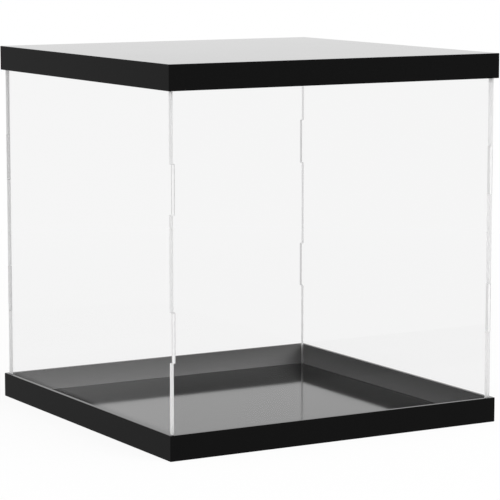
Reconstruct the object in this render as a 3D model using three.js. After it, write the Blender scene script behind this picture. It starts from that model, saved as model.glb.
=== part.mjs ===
// A cube-shaped display box. Four clear sheets interlock at the upright corners with fingers and tabs.
// They stand in a shallow black tray, and the same tray turned over is the lid.
// Each tray is a plate with four strips bonded round its edge, mitred at the corners.
// Millimetres, +Z up, +X to the right along the front, +Y to the rear.
// The origin is the middle of the underside.

import * as THREE from 'three';
import { mergeVertices } from 'three/addons/utils/BufferGeometryUtils.js';

// The whole box, measured over the trays
const boxWidth = 300;
const boxDepth = 300;
const boxHeight = 300;

// A tray: the plate, and the strips that stand on it
const trayHeight = 20;
const plateThickness = 2;
const rimThickness = 3;
const easedEdge = 0.3;

// The clear sheets, and the joint at each upright corner
const sheetThickness = 3;
const middleFingerHeight = 73.8;
const tabHeight = 38.5;

// Running clearances: between the sheets and the rims, and between a tab and its slot
const trayPlay = 0.2;
const fingerPlay = 0.15;

// Sizes that follow from those above
const rimHeight = trayHeight - plateThickness;
const coverWidth = boxWidth - 2 * (rimThickness + trayPlay);
const coverDepth = boxDepth - 2 * (rimThickness + trayPlay);
const sheetHeight = boxHeight - 2 * plateThickness;
const tabSetBack = sheetThickness + fingerPlay;

const blackAcrylic = new THREE.MeshStandardMaterial({ color: 0x111111, roughness: 0.18, metalness: 0 });
const clearAcrylic = new THREE.MeshStandardMaterial({
  color: 0xf2f6f6, roughness: 0.03, metalness: 0, transparent: true, opacity: 0.25,
});

// A closed solid through a stack of outlines. Each level has its height and as many points as the others,
// anticlockwise from above.
function stackOutlines(levels) {
  const count = levels[0].outline.length;
  const corners = levels.flatMap(({ height, outline }) => outline.map(([x, y]) => [x, y, height]));
  const faces = [];
  for (let level = 0; level + 1 < levels.length; level += 1) {
    for (let i = 0; i < count; i += 1) {
      const a = level * count + i;
      const b = level * count + ((i + 1) % count);
      faces.push([a, b, b + count], [a, b + count, a + count]);
    }
  }
  const cap = (outline) => THREE.ShapeUtils.triangulateShape(outline.map(([x, y]) => new THREE.Vector2(x, y)), []);
  const top = (levels.length - 1) * count;
  for (const [a, b, c] of cap(levels[0].outline)) {
    faces.push([a, c, b]);
  }
  for (const [a, b, c] of cap(levels.at(-1).outline)) {
    faces.push([top + a, top + b, top + c]);
  }
  const geometry = new THREE.BufferGeometry();
  geometry.setAttribute('position', new THREE.Float32BufferAttribute(corners.flat(), 3));
  geometry.setIndex(faces.flat());
  geometry.computeVertexNormals();
  return geometry;
}

// The plate of a tray, with its upright corners and its outer lower edges eased.
function plateGeometry() {
  const outline = (inset) => {
    const x = boxWidth / 2 - inset;
    const y = boxDepth / 2 - inset;
    const e = easedEdge;
    return [
      [-x + e, -y], [x - e, -y], [x, -y + e], [x, y - e],
      [x - e, y], [-x + e, y], [-x, y - e], [-x, -y + e],
    ];
  };
  return stackOutlines([
    { height: 0, outline: outline(easedEdge) },
    { height: easedEdge, outline: outline(0) },
    { height: plateThickness, outline: outline(0) },
  ]);
}

// One strip of a tray's rim. Its outer face lies on y = 0 and its mitred ends run inwards at 45 degrees.
// The eased upright corner is shared by the two strips that meet there.
function rimGeometry(length) {
  const outline = (inset) => {
    const x = length / 2 - inset;
    const e = easedEdge;
    const inner = length / 2 - rimThickness;
    return [
      [-x + e, inset], [x - e, inset], [x - e / 2, inset + e / 2],
      [inner, rimThickness], [-inner, rimThickness], [-x + e / 2, inset + e / 2],
    ];
  };
  return stackOutlines([
    { height: 0, outline: outline(0) },
    { height: rimHeight - easedEdge, outline: outline(0) },
    { height: rimHeight, outline: outline(easedEdge) },
  ]);
}

// A clear sheet standing on its lower edge, with its outer face on y = 0.
// Its upright edges lie at halfWidth, and at halfWidthAtTabs over the height of each tab. A slot is cut taller
// than the tab by twice the growth, and a tab shorter.
function sheetGeometry(halfWidth, halfWidthAtTabs, growth) {
  const tabCentre = (middleFingerHeight + tabHeight) / 2;
  const right = [[halfWidth, 0]];
  for (const centre of [sheetHeight / 2 - tabCentre, sheetHeight / 2 + tabCentre]) {
    const low = centre - tabHeight / 2 - growth;
    const high = centre + tabHeight / 2 + growth;
    right.push([halfWidth, low], [halfWidthAtTabs, low], [halfWidthAtTabs, high], [halfWidth, high]);
  }
  right.push([halfWidth, sheetHeight]);
  const left = right.map(([x, z]) => [-x, z]).reverse();
  const shape = new THREE.Shape([...right, ...left].map(([x, z]) => new THREE.Vector2(x, z)));
  const geometry = new THREE.ExtrudeGeometry(shape, { depth: sheetThickness, bevelEnabled: false });
  geometry.translate(0, 0, -sheetThickness);
  geometry.rotateX(Math.PI / 2);
  return geometry;
}

function piece(name, geometry, material) {
  geometry.deleteAttribute('normal');
  geometry.deleteAttribute('uv');
  const closed = mergeVertices(geometry);
  closed.computeVertexNormals();
  const mesh = new THREE.Mesh(closed, material);
  mesh.name = name;
  return mesh;
}

// Turns a piece to face one side of the box and sets its outer face at that distance from the middle.
function setOnSide(mesh, turn, distance, height) {
  mesh.rotation.z = turn;
  mesh.position.set(Math.sin(turn) * distance, -Math.cos(turn) * distance, height);
  return mesh;
}

// The sides in turn: front, right, rear, left
const quarterTurns = [0, Math.PI / 2, Math.PI, -Math.PI / 2];

// A tray lying with its rim up. The sides are named in the order of the quarter turns.
function tray(name, sides) {
  const group = new THREE.Group();
  group.add(piece(`${name}_plate`, plateGeometry(), blackAcrylic));
  sides.forEach((side, i) => {
    const facesFrontOrRear = i % 2 === 0;
    const length = facesFrontOrRear ? boxWidth : boxDepth;
    const distance = (facesFrontOrRear ? boxDepth : boxWidth) / 2;
    const strip = piece(`${name}_rim_${side}`, rimGeometry(length), blackAcrylic);
    group.add(setOnSide(strip, quarterTurns[i], distance, plateThickness));
  });
  return group;
}

// The four sheets. The front and rear ones have the slots, the side ones the tabs that fill them.
function cover() {
  const slotted = () => sheetGeometry(coverWidth / 2, coverWidth / 2 - tabSetBack, fingerPlay / 2);
  const tabbed = () => sheetGeometry(coverDepth / 2 - tabSetBack, coverDepth / 2, -fingerPlay / 2);
  const group = new THREE.Group();
  ['front', 'right', 'rear', 'left'].forEach((side, i) => {
    const facesFrontOrRear = i % 2 === 0;
    const geometry = facesFrontOrRear ? slotted() : tabbed();
    const distance = (facesFrontOrRear ? coverDepth : coverWidth) / 2;
    const sheet = piece(`${side}_panel`, geometry, clearAcrylic);
    group.add(setOnSide(sheet, quarterTurns[i], distance, 0));
  });
  return group;
}

const displayBox = new THREE.Group();

displayBox.add(tray('base', ['front', 'right', 'rear', 'left']));

const sheets = cover();
sheets.position.z = plateThickness;
displayBox.add(sheets);

// Turned over about the X axis, so its front and rear strips change places
const lid = tray('lid', ['rear', 'right', 'front', 'left']);
lid.rotation.x = Math.PI;
lid.position.z = boxHeight;
displayBox.add(lid);

export default displayBox;
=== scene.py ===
"""Looks of a clear display box with black trays: finishes for its sheets and trays, a studio and a camera."""

import math

import bpy
from bpy.props import FloatProperty, FloatVectorProperty, IntProperty, PointerProperty
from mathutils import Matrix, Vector


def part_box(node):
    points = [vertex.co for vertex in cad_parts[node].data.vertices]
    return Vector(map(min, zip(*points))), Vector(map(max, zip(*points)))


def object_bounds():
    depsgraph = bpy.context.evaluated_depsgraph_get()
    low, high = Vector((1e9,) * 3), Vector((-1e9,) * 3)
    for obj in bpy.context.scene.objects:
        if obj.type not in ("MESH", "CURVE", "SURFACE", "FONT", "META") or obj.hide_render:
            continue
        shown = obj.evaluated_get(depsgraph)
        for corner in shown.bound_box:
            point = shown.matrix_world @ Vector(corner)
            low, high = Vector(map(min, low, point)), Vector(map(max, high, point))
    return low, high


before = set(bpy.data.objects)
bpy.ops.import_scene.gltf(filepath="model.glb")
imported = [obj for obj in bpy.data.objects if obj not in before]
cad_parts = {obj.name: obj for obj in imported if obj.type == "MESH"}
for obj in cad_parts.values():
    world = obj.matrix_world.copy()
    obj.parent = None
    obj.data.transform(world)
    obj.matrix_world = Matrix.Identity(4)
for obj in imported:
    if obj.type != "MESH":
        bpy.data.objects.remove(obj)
CAD_BOX = [list(corner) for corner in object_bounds()]

bl_info = {
    "name": "Display Box",
    "version": (1, 0, 0),
    "blender": (4, 5, 0),
    "location": "3D View > Sidebar > Display Box",
    "description": "Finishes the sheets and trays of a clear display box and sets up its studio",
    "category": "Object",
}

# The packed model's pieces
FRONT_AND_REAR_SHEETS = ["front_panel", "rear_panel"]
SIDE_SHEETS = ["left_panel", "right_panel"]
TRAY_PLATES = ["base_plate", "lid_plate"]
TRAY_SIDES = ["front", "right", "rear", "left"]
TRAY_RIMS = [f"{tray}_rim_{side}" for tray in ("base", "lid") for side in TRAY_SIDES]

# Sizes read from the packed model, in metres
BOX_CENTRE = (Vector(CAD_BOX[0]) + Vector(CAD_BOX[1])) / 2
BOX_UNDERSIDE = CAD_BOX[0][2]
BOX_HEIGHT = CAD_BOX[1][2] - BOX_UNDERSIDE
HALF_WIDTH = (CAD_BOX[1][0] - CAD_BOX[0][0]) / 2
HALF_DEPTH = (CAD_BOX[1][1] - CAD_BOX[0][1]) / 2
TRAY_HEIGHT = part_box("base_rim_front")[1][2] - BOX_UNDERSIDE
PLATE_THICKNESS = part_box("base_plate")[1][2] - BOX_UNDERSIDE
SHEETS_STAND_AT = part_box("rear_panel")[0][2]
SHEET_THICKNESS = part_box("rear_panel")[1][1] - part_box("rear_panel")[0][1]
# How far from the middle of the box the sheets stand, to the middle of their thickness
SHEETS_AT = {
    "X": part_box("right_panel")[1][0] - SHEET_THICKNESS / 2,
    "Y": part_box("rear_panel")[1][1] - SHEET_THICKNESS / 2,
}

# A face of a tray is upright where its normal's part along Z is below this
UPRIGHT_BELOW = 0.9
# A face of a sheet is a cut edge where its normal's part along the sheet's thickness is below this
CUT_EDGE_BELOW = 0.5

# Noise patterns of the finishes. A squeeze above 1 makes a pattern finer along that axis, and one below 1
# draws it out.
NOISE_MEAN = 0.5
WIPED_PATCHES = {"scale": 9.0, "detail": 3.0}
HAIRLINES = {"scale": 60.0, "detail": 2.0, "squeeze": (1.0, 12.0, 1.0)}
HAIRLINE_SHARE = 0.5
SMEARS = {"scale": 14.0, "detail": 3.0}
SMEARED_PATCHES = {"scale": 5.0, "detail": 1.0}
CUT_MARKS = {"scale": 2500.0, "detail": 1.0}
CUT_MARK_SQUEEZE = 0.05
FROST_ROUGHNESS = 0.8

BLACK = (0.0, 0.0, 0.0)
WHITE = (1.0, 1.0, 1.0)

# Each soft box with its heading to the right of the front, its height above the horizon, both in degrees, and
# the setting that holds its level
SOFT_BOXES = {
    "key_soft_box": (30, 20, "key_level"),
    "fill_soft_box": (-75, 20, "fill_level"),
    "top_soft_box": (0, 80, "top_level"),
}
SOFT_BOX_DISTANCE = 9 * BOX_HEIGHT
SOFT_BOX_WIDTH = 5 * BOX_HEIGHT
# How many surfaces light may pass straight through
STRAIGHT_PASSES = 24

# The camera's sensor in millimetres, and the nearest and furthest that it sees in metres
SENSOR_WIDTH = 36.0
NEAREST_SEEN = 0.01
FURTHEST_SEEN = 100.0


class BlackSheetSettings(bpy.types.PropertyGroup):
    """Black acrylic of the trays"""

    colour: FloatVectorProperty(
        name="Colour", description="Body colour of the black sheet",
        subtype="COLOR", default=(0.0009, 0.0009, 0.0009), min=0.0, max=1.0)
    inner_colour: FloatVectorProperty(
        name="Inner Colour",
        description="Colour of the rims' matt inner faces along the free edge of the rim",
        subtype="COLOR", default=(0.165, 0.165, 0.165), min=0.0, max=1.0)
    # Painted light: the matt faces grow lighter towards the plate, standing in for light that the polished
    # plate throws onto them
    painted_foot_light: FloatVectorProperty(
        name="Foot Colour",
        description="Colour of the matt faces where a rim meets its plate and where the sheets stand",
        subtype="COLOR", default=(0.28, 0.28, 0.28), min=0.0, max=1.0)
    matt_roughness: FloatProperty(
        name="Matt Roughness", description="Roughness of the matt faces",
        default=0.6, min=0.0, max=1.0)
    polish: FloatProperty(
        name="Polish", description="How strongly the polished faces mirror, where 1 is a perfect polish",
        subtype="FACTOR", default=0.965, min=0.0, max=1.0)
    polish_roughness: FloatProperty(
        name="Polish Roughness", description="Roughness of the polished faces",
        default=0.08, min=0.0, max=1.0)
    wipe_marks: FloatProperty(
        name="Wipe Marks", description="How much the roughness of the polish wanders over the surface",
        default=0.04, min=0.0, max=1.0)
    refraction: FloatProperty(
        name="Refractive Index", description="Refractive index of the plates",
        default=1.49, min=1.0, max=2.0)
    edge_refraction: FloatProperty(
        name="Edge Refractive Index",
        description="Refractive index of the rims and the outer edges, for a faint gloss",
        default=1.38, min=1.0, max=2.0)
    edge_gloss: FloatProperty(
        name="Edge Gloss",
        description="How strongly the outer edges of the trays mirror, where 1 is a perfect polish",
        subtype="FACTOR", default=0.245, min=0.0, max=1.0)
    edge_depth: FloatProperty(
        name="Edge Depth", description="How far in from the outside the duller edge finish reaches",
        subtype="DISTANCE", unit="LENGTH", default=0.0004, min=0.0, max=0.01)


class ClearSheetSettings(bpy.types.PropertyGroup):
    """Clear acrylic of the four upright sheets"""

    tint: FloatVectorProperty(
        name="Tint", description="Light left after one sheet",
        subtype="COLOR", default=(0.957, 0.957, 0.957), min=0.0, max=1.0)
    finger_colour: FloatVectorProperty(
        name="Finger Colour", description="Colour of the frosted ends of the wide fingers",
        subtype="COLOR", default=(0.9, 0.9, 0.9), min=0.0, max=1.0)
    # Painted shade: the ends of the fingers and tabs are darker in a line along their two sides
    finger_arris_shade: FloatProperty(
        name="Finger Arris",
        description="How much darker the ends of the wide fingers are along their two sides",
        subtype="FACTOR", default=0.05, min=0.0, max=1.0)
    finger_glow: FloatProperty(
        name="Finger Glow", description="Share of the light that the ends of the wide fingers let through",
        subtype="FACTOR", default=0.5, min=0.0, max=1.0)
    tab_colour: FloatVectorProperty(
        name="Tab Colour", description="Colour of the frosted ends of the narrow tabs",
        subtype="COLOR", default=(0.87, 0.87, 0.87), min=0.0, max=1.0)
    tab_arris_shade: FloatProperty(
        name="Tab Arris", description="How much darker the ends of the narrow tabs are along their two sides",
        subtype="FACTOR", default=0.4, min=0.0, max=1.0)
    tab_glow: FloatProperty(
        name="Tab Glow", description="Share of the light that the ends of the narrow tabs let through",
        subtype="FACTOR", default=0.25, min=0.0, max=1.0)
    # Painted shade: the slots and the set-back edges lie behind a neighbouring sheet and take darker colours
    # than the ends
    painted_slot_shade: FloatVectorProperty(
        name="Slot Colour", description="Colour of the frosted slots that the tabs fill",
        subtype="COLOR", default=(0.66, 0.66, 0.66), min=0.0, max=1.0)
    painted_set_back_shade: FloatVectorProperty(
        name="Set-Back Colour",
        description="Colour of the frosted edges that lie behind the wide fingers",
        subtype="COLOR", default=(0.82, 0.82, 0.82), min=0.0, max=1.0)
    arris_shade_width: FloatProperty(
        name="Arris Width", description="Width of the darker line along each side of a cut edge",
        subtype="DISTANCE", unit="LENGTH", default=0.0005, min=0.0, max=0.01)
    foot_depth: FloatProperty(
        name="Foot Depth",
        description="How far up the clear finish of the edges that the sheets stand on reaches",
        subtype="DISTANCE", unit="LENGTH", default=0.0001, min=0.0, max=0.01)
    cut_marks: FloatProperty(
        name="Cut Marks", description="How much the fine marks across a cut edge darken it",
        subtype="FACTOR", default=0.08, min=0.0, max=1.0)
    refraction: FloatProperty(
        name="Refractive Index",
        description="Refractive index of the clear sheet, low for a faint reflection",
        default=1.13, min=1.0, max=2.0)
    smears: FloatProperty(
        name="Smears", description="Roughness that faint smears add to the faces",
        default=0.01, min=0.0, max=1.0)


class StudioSettings(bpy.types.PropertyGroup):
    """Floor, surrounding light and soft boxes"""

    floor_colour: FloatVectorProperty(
        name="Floor Colour", description="Colour of the floor",
        subtype="COLOR", default=(0.95, 0.95, 0.95), min=0.0, max=1.0)
    floor_size: FloatProperty(
        name="Floor Size", description="Width of the square floor",
        subtype="DISTANCE", unit="LENGTH", default=40.0, min=1.0)
    shadow_share: FloatProperty(
        name="Shadow", description="How much of the object's shadow the white floor shows",
        subtype="FACTOR", default=0.1, min=0.0, max=1.0)
    shadow_reach: FloatProperty(
        name="Shadow Reach", description="How far from the middle of the box its shadow fades out",
        subtype="DISTANCE", unit="LENGTH", default=1.2, min=0.1)
    ambient: FloatProperty(
        name="Surrounding Light", description="Level of the light from all round",
        default=0.3, min=0.0, max=10.0)
    key_level: FloatProperty(
        name="Key Light",
        description="Light that the soft box at the front right gives a face turned to it",
        default=0.7, min=0.0, max=10.0)
    fill_level: FloatProperty(
        name="Fill Light", description="Light that the soft box at the left gives a face turned to it",
        default=0.2, min=0.0, max=10.0)
    top_level: FloatProperty(
        name="Top Light", description="Light that the soft box overhead gives a face turned to it",
        default=0.45, min=0.0, max=10.0)
    bounces: IntProperty(
        name="Bounces",
        description="Bounces that light may take, which lets the sheets carry it from edge to edge",
        default=160, min=12, max=1024)
    sure_bounces: IntProperty(
        name="Sure Bounces",
        description="Bounces before a dim path may end by chance, which keeps the tray clean",
        default=16, min=0, max=1024)


class ViewSettings(bpy.types.PropertyGroup):
    """The camera, set as in the photograph"""

    location: FloatVectorProperty(
        name="Camera Position", description="Where the camera stands",
        subtype="TRANSLATION", unit="LENGTH", default=(-1.0122, -1.7544, 0.4101))
    heading: FloatProperty(
        name="Heading", description="Turn of the view to the right of the box's front-to-rear direction",
        subtype="ANGLE", unit="ROTATION", default=math.radians(30.14))
    dip: FloatProperty(
        name="Dip", description="How far the view is tipped below the horizon",
        subtype="ANGLE", unit="ROTATION", default=math.radians(7.77))
    lens: FloatProperty(
        name="Focal Length", description="Focal length in millimetres on a 36 mm sensor",
        default=177.3, min=1.0)


class Number:
    """A number socket that takes part in plain expressions."""

    def __init__(self, shader, socket):
        self.shader = shader
        self.socket = socket

    def maths(self, operation, *values):
        node = self.shader.node("ShaderNodeMath", {"operation": operation}, dict(enumerate(values)))
        return Number(self.shader, node.outputs[0])

    def __add__(self, other):
        return self.maths("ADD", self, other)

    def __sub__(self, other):
        return self.maths("SUBTRACT", self, other)

    def __rsub__(self, other):
        return self.maths("SUBTRACT", other, self)

    def __mul__(self, other):
        return self.maths("MULTIPLY", self, other)

    def __gt__(self, other):
        return self.maths("GREATER_THAN", self, other)

    def __lt__(self, other):
        return self.maths("LESS_THAN", self, other)

    def __abs__(self):
        return self.maths("ABSOLUTE", self)

    def at_least(self, other):
        return self.maths("MAXIMUM", self, other)

    __radd__ = __add__
    __rmul__ = __mul__


class Shader:
    """The node tree of a material or world, written from its nodes' types, settings and inputs."""

    def __init__(self, owner):
        owner.use_nodes = True
        self.tree = owner.node_tree
        self.tree.nodes.clear()
        self.for_world = isinstance(owner, bpy.types.World)

    def node(self, kind, settings=None, inputs=None):
        node = self.tree.nodes.new(kind)
        for name, value in (settings or {}).items():
            setattr(node, name, value)
        for key, value in (inputs or {}).items():
            socket = node.inputs[key]
            source = value.socket if isinstance(value, Number) else value
            if isinstance(source, bpy.types.NodeSocket):
                self.tree.links.new(source, socket)
            else:
                socket.default_value = source
        return node

    def number(self, kind, output, settings=None, inputs=None):
        return Number(self, self.node(kind, settings, inputs).outputs[output])

    def along_axes(self, coordinates):
        """The three parts of one of the texture coordinates, in the frame of the box."""
        vector = self.node("ShaderNodeTexCoord").outputs[coordinates]
        split = self.node("ShaderNodeSeparateXYZ", inputs={0: vector})
        return {axis: Number(self, split.outputs[axis]) for axis in "XYZ"}

    def mix_colours(self, share, first, second):
        """The first colour where the share is 0, the second where it is 1. Each is a colour or a socket."""
        node = self.node("ShaderNodeMix", {"data_type": "RGBA"})
        values = {"Factor": share.socket, "A": first, "B": second}
        for socket in node.inputs:
            if socket.enabled and socket.name in values:
                value = values[socket.name]
                if isinstance(value, bpy.types.NodeSocket):
                    self.tree.links.new(value, socket)
                else:
                    socket.default_value = (*value, 1.0)
        return next(socket for socket in node.outputs if socket.enabled)

    def mix_shaders(self, share, first, second):
        """The first shader where the share is 0, the second where it is 1."""
        inputs = {0: share, 1: first.outputs[0], 2: second.outputs[0]}
        return self.node("ShaderNodeMixShader", inputs=inputs)

    def noise(self, scale, detail, squeeze=(1.0, 1.0, 1.0)):
        place = self.node("ShaderNodeTexCoord").outputs["Object"]
        squeezed = self.node("ShaderNodeMapping", inputs={"Vector": place, "Scale": squeeze}).outputs[0]
        inputs = {"Vector": squeezed, "Scale": scale, "Detail": detail}
        return self.number("ShaderNodeTexNoise", "Fac", inputs=inputs)

    def light_path(self, *kinds):
        """1 for the rays of these kinds and 0 for the others."""
        path = self.node("ShaderNodeLightPath")
        rays = [Number(self, path.outputs[f"Is {kind} Ray"]) for kind in kinds]
        total = rays[0]
        for ray in rays[1:]:
            total = total.at_least(ray)
        return total

    def finish(self, surface):
        output = "ShaderNodeOutputWorld" if self.for_world else "ShaderNodeOutputMaterial"
        self.node(output, inputs={"Surface": surface.outputs[0]})


def black_acrylic(name, settings, refraction):
    """Polished black sheet, duller on the outer edges of the trays. It is matt inside their rims, and on the
    strip of the plates where the clear sheets stand, and there its colour is painted lighter towards the plate
    as painted light from the polished plate."""
    material = bpy.data.materials.new(name)
    shader = Shader(material)
    place = shader.along_axes("Object")
    facing = shader.along_axes("Normal")
    from_mid_height = abs(place["Z"] - BOX_CENTRE.z)
    upright = abs(facing["Z"]) < UPRIGHT_BELOW

    at_the_sides = abs(place["X"]) > HALF_WIDTH - settings.edge_depth
    at_front_or_rear = abs(place["Y"]) > HALF_DEPTH - settings.edge_depth
    outside = at_the_sides.at_least(at_front_or_rear)
    outer_edge = outside * upright
    inside_rim = (1 - outside) * upright

    # The strip of the plates where the clear sheets stand is matt and takes the light foot colour, as painted
    # light
    under_side_sheets = abs(place["X"]) > SHEETS_AT["X"] - SHEET_THICKNESS / 2
    under_front_or_rear = abs(place["Y"]) > SHEETS_AT["Y"] - SHEET_THICKNESS / 2
    under_sheets = under_side_sheets.at_least(under_front_or_rear)
    on_plate = abs(from_mid_height - (BOX_HEIGHT / 2 - PLATE_THICKNESS)) < PLATE_THICKNESS / 2
    painted_light_strip = under_sheets * on_plate * (1 - upright)

    # The matt faces are painted lighter towards the plate, as painted light from the polished plate
    towards_plate = (from_mid_height - (BOX_HEIGHT / 2 - TRAY_HEIGHT)) * (1 / TRAY_HEIGHT)
    matt_colour_with_painted_light = shader.mix_colours(towards_plate, settings.inner_colour, settings.painted_foot_light)
    matt = shader.node("ShaderNodeBsdfPrincipled", inputs={
        "Base Color": shader.mix_colours(inside_rim + painted_light_strip, settings.colour, matt_colour_with_painted_light),
        "Roughness": settings.matt_roughness,
        "Specular IOR Level": 0.0,
    })
    wiped = shader.noise(**WIPED_PATCHES) - NOISE_MEAN
    hairlines = shader.noise(**HAIRLINES) - NOISE_MEAN
    roughness = settings.polish_roughness + settings.wipe_marks * (wiped + HAIRLINE_SHARE * hairlines)
    glossy_edge = shader.node("ShaderNodeBsdfPrincipled", inputs={
        "Base Color": (*settings.colour, 1.0),
        "Roughness": roughness,
        "IOR": settings.edge_refraction,
    })
    sides = shader.mix_shaders(outer_edge * settings.edge_gloss, matt, glossy_edge)
    polished = shader.node("ShaderNodeBsdfPrincipled", inputs={
        "Base Color": (*settings.colour, 1.0),
        "Roughness": roughness + (inside_rim + painted_light_strip) * settings.matt_roughness,
        "IOR": refraction,
    })
    # The polish comes first, because an exported mix keeps the gloss of its first shader
    polished_share = (1 - upright - painted_light_strip) * settings.polish
    shader.finish(shader.mix_shaders(1 - polished_share, polished, sides))
    return material


def clear_acrylic(name, settings, axes, end_colour, painted_recess_shade, end_arris_shade, end_glow):
    """Clear sheet with polished faces and frosted cut edges, which lets lamp light by. The first of the two
    axes is that of its thickness, and the second runs along it. An end shows outside, and a recess lies behind
    the neighbouring sheet. The recesses take a darker colour as painted shade, and the ends are painted darker
    along their two sides as painted shade."""
    thickness_axis, long_axis = axes
    material = bpy.data.materials.new(name)
    shader = Shader(material)
    place = shader.along_axes("Object")
    facing = shader.along_axes("Normal")
    # The edges that the sheets stand on lie on the plate, and stay clear, because frost there only adds grain
    above_foot = place["Z"] > SHEETS_STAND_AT + settings.foot_depth
    cut_edge = (abs(facing[thickness_axis]) < CUT_EDGE_BELOW) * above_foot
    off_middle = abs(abs(place[thickness_axis]) - SHEETS_AT[thickness_axis])
    # The line along each side of a cut edge where the ends take painted shade
    arris = off_middle > SHEET_THICKNESS / 2 - settings.arris_shade_width
    recessed = abs(place[long_axis]) < SHEETS_AT[long_axis]

    smear = shader.noise(**SMEARS) * shader.noise(**SMEARED_PATCHES)
    glass = shader.node("ShaderNodeBsdfPrincipled", inputs={
        "Base Color": (*settings.tint, 1.0),
        "Roughness": smear * settings.smears,
        "IOR": settings.refraction,
        "Transmission Weight": 1.0,
    })

    across_the_edge = [CUT_MARK_SQUEEZE if axis == thickness_axis else 1.0 for axis in "XYZ"]
    cut_marks = shader.noise(**CUT_MARKS, squeeze=across_the_edge) * settings.cut_marks
    # The darkening along the sides is painted shade, and the cut marks are real marks on the edge
    shade = 1 - arris * (1 - recessed) * end_arris_shade - cut_marks
    # The recesses take a darker colour, as painted shade
    edge_colour = shader.mix_colours(recessed, end_colour, painted_recess_shade)
    frost = shader.node("ShaderNodeBsdfPrincipled", inputs={
        "Base Color": shader.mix_colours(shade, BLACK, edge_colour),
        "Roughness": FROST_ROUGHNESS,
        "Specular IOR Level": 0.0,
    })
    glow = shader.node("ShaderNodeBsdfTranslucent", inputs={"Color": (*end_colour, 1.0)})
    sheet = shader.mix_shaders(cut_edge, glass, shader.mix_shaders(end_glow, frost, glow))

    passing = shader.node("ShaderNodeBsdfTransparent", inputs={"Color": (*settings.tint, 1.0)})
    shader.finish(shader.mix_shaders(shader.light_path("Shadow", "Diffuse"), sheet, passing))
    return material


def floor_paper(settings):
    """Pale paper that is plain white to the camera and in mirrors and glass, but for a faint shadow."""
    material = bpy.data.materials.new("floor_paper")
    shader = Shader(material)
    paper = shader.node("ShaderNodeBsdfDiffuse", inputs={"Color": (*settings.floor_colour, 1.0)})
    white = shader.node("ShaderNodeEmission", inputs={"Color": (*WHITE, 1.0), "Strength": 1.0})
    seen = shader.light_path("Camera", "Glossy", "Transmission")
    place = shader.node("ShaderNodeTexCoord").outputs["Object"]
    from_box = shader.number("ShaderNodeVectorMath", "Value", {"operation": "LENGTH"}, {0: place})
    near = (1 - from_box * (1 / settings.shadow_reach)).at_least(0.0)
    shader.finish(shader.mix_shaders(seen * (1 - near * settings.shadow_share), paper, white))
    return material


def dress(nodes, material):
    """Gives these pieces of the packed model one material."""
    for name in nodes:
        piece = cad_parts[name]
        piece.data.materials.clear()
        piece.data.materials.append(material)


class BOX_OT_finish_plates(bpy.types.Operator):
    """Give the plates of both trays their polished black finish"""

    bl_idname = "display_box.finish_plates"
    bl_label = "Finish the Plates"

    def execute(self, context):
        settings = context.scene.black_sheet
        dress(TRAY_PLATES, black_acrylic("black_plate", settings, settings.refraction))
        return {"FINISHED"}


class BOX_OT_finish_rims(bpy.types.Operator):
    """Give the rims of both trays their black finish, matt inside"""

    bl_idname = "display_box.finish_rims"
    bl_label = "Finish the Rims"

    def execute(self, context):
        settings = context.scene.black_sheet
        dress(TRAY_RIMS, black_acrylic("black_rim", settings, settings.edge_refraction))
        return {"FINISHED"}


class BOX_OT_finish_sheets(bpy.types.Operator):
    """Give the four upright sheets their clear finish"""

    bl_idname = "display_box.finish_sheets"
    bl_label = "Finish the Clear Sheets"

    def execute(self, context):
        settings = context.scene.clear_sheet
        fingered = clear_acrylic("clear_front_and_rear", settings, "YX", settings.finger_colour,
                                 settings.painted_slot_shade, settings.finger_arris_shade, settings.finger_glow)
        tabbed = clear_acrylic("clear_sides", settings, "XY", settings.tab_colour,
                               settings.painted_set_back_shade, settings.tab_arris_shade, settings.tab_glow)
        dress(FRONT_AND_REAR_SHEETS, fingered)
        dress(SIDE_SHEETS, tabbed)
        return {"FINISHED"}


class BOX_OT_set_up_studio(bpy.types.Operator):
    """Lay the floor, and set the surrounding light and the soft boxes"""

    bl_idname = "display_box.set_up_studio"
    bl_label = "Set Up the Studio"

    def lay_floor(self, settings):
        half, level = settings.floor_size / 2, BOX_UNDERSIDE
        mesh = bpy.data.meshes.new("floor")
        corners = [(-half, -half, level), (half, -half, level), (half, half, level), (-half, half, level)]
        mesh.from_pydata(corners, [], [(0, 1, 2, 3)])
        floor = bpy.data.objects.new("floor", mesh)
        bpy.context.scene.collection.objects.link(floor)
        mesh.materials.append(floor_paper(settings))

    def light_all_round(self, settings):
        """Light of the set level from all round, which the camera, mirrors and glass see as plain white."""
        world = bpy.data.worlds.new("studio_light")
        bpy.context.scene.world = world
        shader = Shader(world)
        seen = shader.light_path("Camera", "Glossy", "Transmission")
        strength = seen + (1 - seen) * settings.ambient
        inputs = {"Color": (*WHITE, 1.0), "Strength": strength}
        shader.finish(shader.node("ShaderNodeBackground", inputs=inputs))

    def hang_soft_box(self, name, heading, height, level):
        """A square soft box turned to the display box. Its level is what a white face turned to it shows."""
        across, up = math.radians(heading), math.radians(height)
        direction = Vector((math.sin(across) * math.cos(up), -math.cos(across) * math.cos(up), math.sin(up)))
        lamp = bpy.data.lights.new(name, "AREA")
        lamp.shape = "SQUARE"
        lamp.size = SOFT_BOX_WIDTH
        lamp.energy = level * (math.pi * SOFT_BOX_DISTANCE) ** 2
        holder = bpy.data.objects.new(name, lamp)
        holder.location = BOX_CENTRE + SOFT_BOX_DISTANCE * direction
        holder.rotation_euler = direction.to_track_quat("Z", "Y").to_euler()
        holder.visible_camera = False
        holder.visible_glossy = False
        holder.visible_transmission = False
        bpy.context.scene.collection.objects.link(holder)

    def execute(self, context):
        settings = context.scene.box_studio
        self.lay_floor(settings)
        self.light_all_round(settings)
        for name, (heading, height, level) in SOFT_BOXES.items():
            self.hang_soft_box(name, heading, height, getattr(settings, level))
        context.scene.view_settings.view_transform = "Standard"
        paths = context.scene.cycles
        paths.max_bounces = paths.glossy_bounces = paths.transmission_bounces = settings.bounces
        paths.min_light_bounces = settings.sure_bounces
        paths.transparent_max_bounces = STRAIGHT_PASSES
        return {"FINISHED"}


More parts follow.
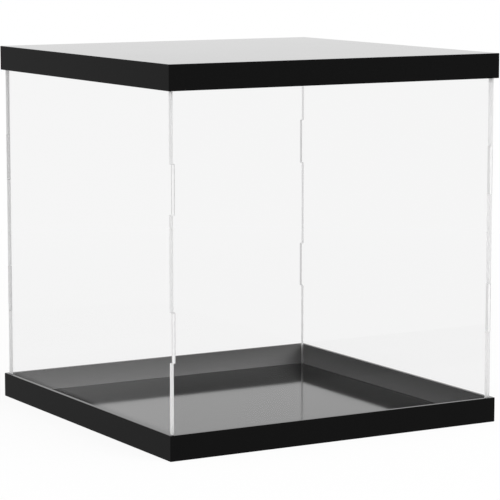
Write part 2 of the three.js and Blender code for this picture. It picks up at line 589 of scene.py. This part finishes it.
class BOX_OT_place_camera(bpy.types.Operator):
    """Stand the camera where the photograph was taken from"""

    bl_idname = "display_box.place_camera"
    bl_label = "Place the Camera"

    def execute(self, context):
        settings = context.scene.box_view
        camera = bpy.data.cameras.new("camera")
        camera.lens = settings.lens
        camera.sensor_width = SENSOR_WIDTH
        camera.clip_start = NEAREST_SEEN
        camera.clip_end = FURTHEST_SEEN
        holder = bpy.data.objects.new("camera", camera)
        holder.location = settings.location
        holder.rotation_euler = (math.pi / 2 - settings.dip, 0.0, -settings.heading)
        context.scene.collection.objects.link(holder)
        context.scene.camera = holder
        return {"FINISHED"}


SETTINGS = {
    "black_sheet": BlackSheetSettings,
    "clear_sheet": ClearSheetSettings,
    "box_studio": StudioSettings,
    "box_view": ViewSettings,
}
STEPS = (
    BOX_OT_place_camera,
    BOX_OT_finish_plates,
    BOX_OT_finish_rims,
    BOX_OT_finish_sheets,
    BOX_OT_set_up_studio,
)


class BOX_PT_panel(bpy.types.Panel):
    """Sizes and colours of the display box, and the steps that apply them"""

    bl_idname = "BOX_PT_panel"
    bl_label = "Display Box"
    bl_space_type = "VIEW_3D"
    bl_region_type = "UI"
    bl_category = "Display Box"

    def draw(self, context):
        for name, group in SETTINGS.items():
            settings = getattr(context.scene, name)
            column = self.layout.column()
            column.label(text=group.__doc__)
            for field in group.__annotations__:
                column.prop(settings, field)
        for step in STEPS:
            self.layout.operator(step.bl_idname)


def register():
    for cls in (*SETTINGS.values(), *STEPS, BOX_PT_panel):
        bpy.utils.register_class(cls)
    for name, group in SETTINGS.items():
        setattr(bpy.types.Scene, name, PointerProperty(type=group))


def unregister():
    for name in SETTINGS:
        delattr(bpy.types.Scene, name)
    for cls in (BOX_PT_panel, *reversed(STEPS), *reversed(SETTINGS.values())):
        bpy.utils.unregister_class(cls)


def main():
    register()
    bpy.ops.display_box.place_camera()
    bpy.ops.display_box.finish_plates()
    bpy.ops.display_box.finish_rims()
    bpy.ops.display_box.finish_sheets()
    bpy.ops.display_box.set_up_studio()


if __name__ == "__main__":
    main()
